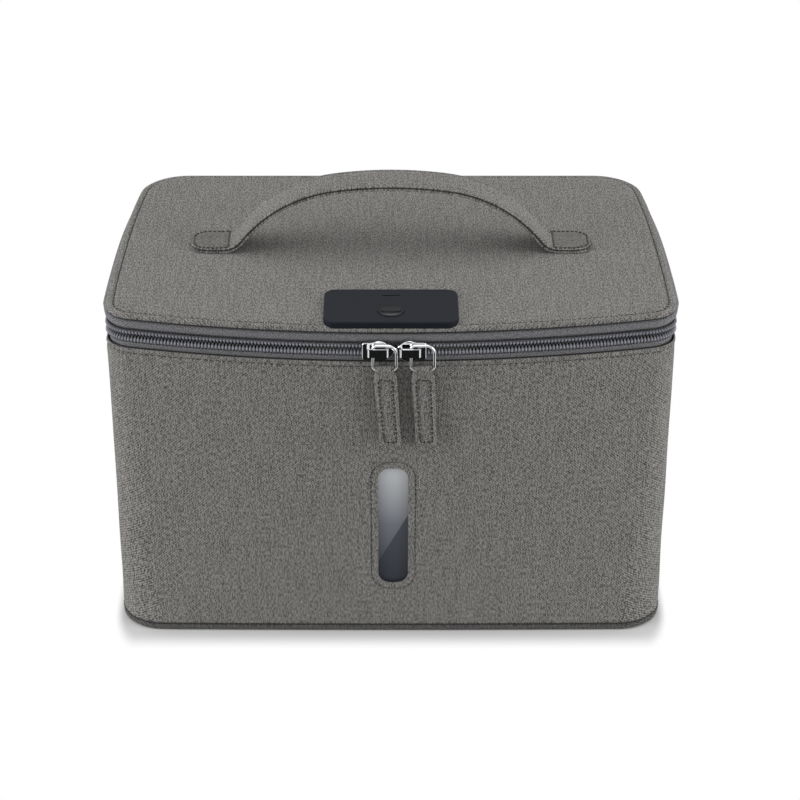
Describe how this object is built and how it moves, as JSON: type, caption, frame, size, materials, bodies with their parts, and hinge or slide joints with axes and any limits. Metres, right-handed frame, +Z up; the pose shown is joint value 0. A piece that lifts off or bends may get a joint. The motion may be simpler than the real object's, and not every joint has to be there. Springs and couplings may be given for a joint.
{
  "type": "uv sterilizer bag",
  "caption": "Boxy soft bag with a zipped lid that holds ultraviolet lamps and a control unit, a strap handle on top and a narrow window in front.",
  "frame": {"origin": "middle of the base, on the floor", "axes": "+Z up, -Y out of the front with the window, +X to the right as seen from the front, along the handle"},
  "size_m": [0.33, 0.2239, 0.2489],
  "materials": {
    "outer_fabric": "heather grey twill",
    "webbing": "woven webbing",
    "foam": "closed-cell foam",
    "reflective_lining": "metallised film, satin",
    "board": "extruded sheet",
    "zip_tape": "woven tape",
    "zip_coil": "nylon coil",
    "chromed_zinc": "polished",
    "plain_steel": "plain",
    "panel_plastic": "satin moulded",
    "button_plastic": "gloss moulded",
    "housing_plastic": "satin moulded",
    "window_sheet": "tinted, clear",
    "light_guide": "smoked",
    "quartz": "clear",
    "circuit_board": "solder mask",
    "component_plastic": "moulded",
    "lamp_chip": "ceramic package",
    "cell_pouch": "satin pouch",
    "cable_jacket": "matt"
  },
  "bodies": {
    "case": {"case_outer_fabric": "outer_fabric", "case_foam_wall": "foam", "case_lining": "reflective_lining", "base_outer_panel": "outer_fabric", "base_board": "board", "base_foam": "foam", "base_lining": "reflective_lining", "window_binding": "outer_fabric", "window_lens": "window_sheet", "safety_magnet": "plain_steel", "case_zip_tape": "zip_tape", "case_zip_coil": "zip_coil", "case_zip_stops": "plain_steel", "rear_hinge_case": "outer_fabric"},
    "lid": {"lid_outer_fabric": "outer_fabric", "lid_foam": "foam", "lid_board": "board", "lid_lining": "reflective_lining", "lid_zip_tape": "zip_tape", "lid_zip_coil": "zip_coil", "lid_zip_stops": "plain_steel", "rear_hinge_lid": "outer_fabric", "handle_cover": "outer_fabric", "handle_core": "webbing", "handle_backing": "outer_fabric", "control_panel": "panel_plastic", "indicator_light": "light_guide", "control_housing": "housing_plastic", "control_board": "circuit_board", "tact_switch": "component_plastic", "charging_port": "plain_steel", "hall_sensor": "component_plastic", "battery_pack": "cell_pouch", "housing_screws": "plain_steel", "lamp_housing": "housing_plastic", "lamp_boards": "circuit_board", "lamp_board_screws": "plain_steel", "uv_led_chips": "lamp_chip", "lamp_cover": "quartz", "lamp_cable": "cable_jacket"},
    "button": {"power_button": "button_plastic", "switch_plunger": "component_plastic"},
    "slider_left": {"zip_slider_left": "chromed_zinc"},
    "ring_left": {"pull_ring_left": "chromed_zinc"},
    "tab_left": {"pull_tab_left": "outer_fabric"},
    "slider_right": {"zip_slider_right": "chromed_zinc"},
    "ring_right": {"pull_ring_right": "chromed_zinc"},
    "tab_right": {"pull_tab_right": "outer_fabric"}
  },
  "joints": [
    {"name": "lid_hinge", "type": "hinge", "parent": "case", "child": "lid", "pos_m": [0, 0.1078, 0.1903], "axis": [-1, 0, 0], "range_deg": [0, 110]},
    {"name": "button_press", "type": "slide", "parent": "lid", "child": "button", "axis": [0, 0, -1], "range_m": [0, 0.0006], "stiffness_N_per_m": 1500, "springref_m": -0.0004},
    {"name": "zip_run_left", "type": "hinge", "parent": "case", "child": "slider_left", "pos_m": [0, 0.556, 0.1903], "axis": [0, 0, -1], "range_deg": [0, 9.5], "deforming": ["case_zip_coil", "lid_zip_coil"]},
    {"name": "ring_swing_left", "type": "hinge", "parent": "slider_left", "child": "ring_left", "pos_m": [-0.01028, -0.11193, 0.1903], "axis": [0, 0, -1], "range_deg": [0, 90]},
    {"name": "tab_lift_left", "type": "hinge", "parent": "ring_left", "child": "tab_left", "pos_m": [-0.00363, -0.112, 0.1797], "axis": [-0.9999, 0.0111, 0], "range_deg": [0, 110]},
    {"name": "zip_run_right", "type": "hinge", "parent": "case", "child": "slider_right", "pos_m": [0, 0.556, 0.1903], "axis": [0, 0, 1], "range_deg": [0, 9.5], "deforming": ["case_zip_coil", "lid_zip_coil"]},
    {"name": "ring_swing_right", "type": "hinge", "parent": "slider_right", "child": "ring_right", "pos_m": [0.0114, -0.1119, 0.1903], "axis": [0, 0, -1], "range_deg": [0, 90]},
    {"name": "tab_lift_right", "type": "hinge", "parent": "ring_right", "child": "tab_right", "pos_m": [0.01805, -0.11179, 0.1797], "axis": [-0.9999, -0.0165, 0], "range_deg": [0, 110]}
  ]
}
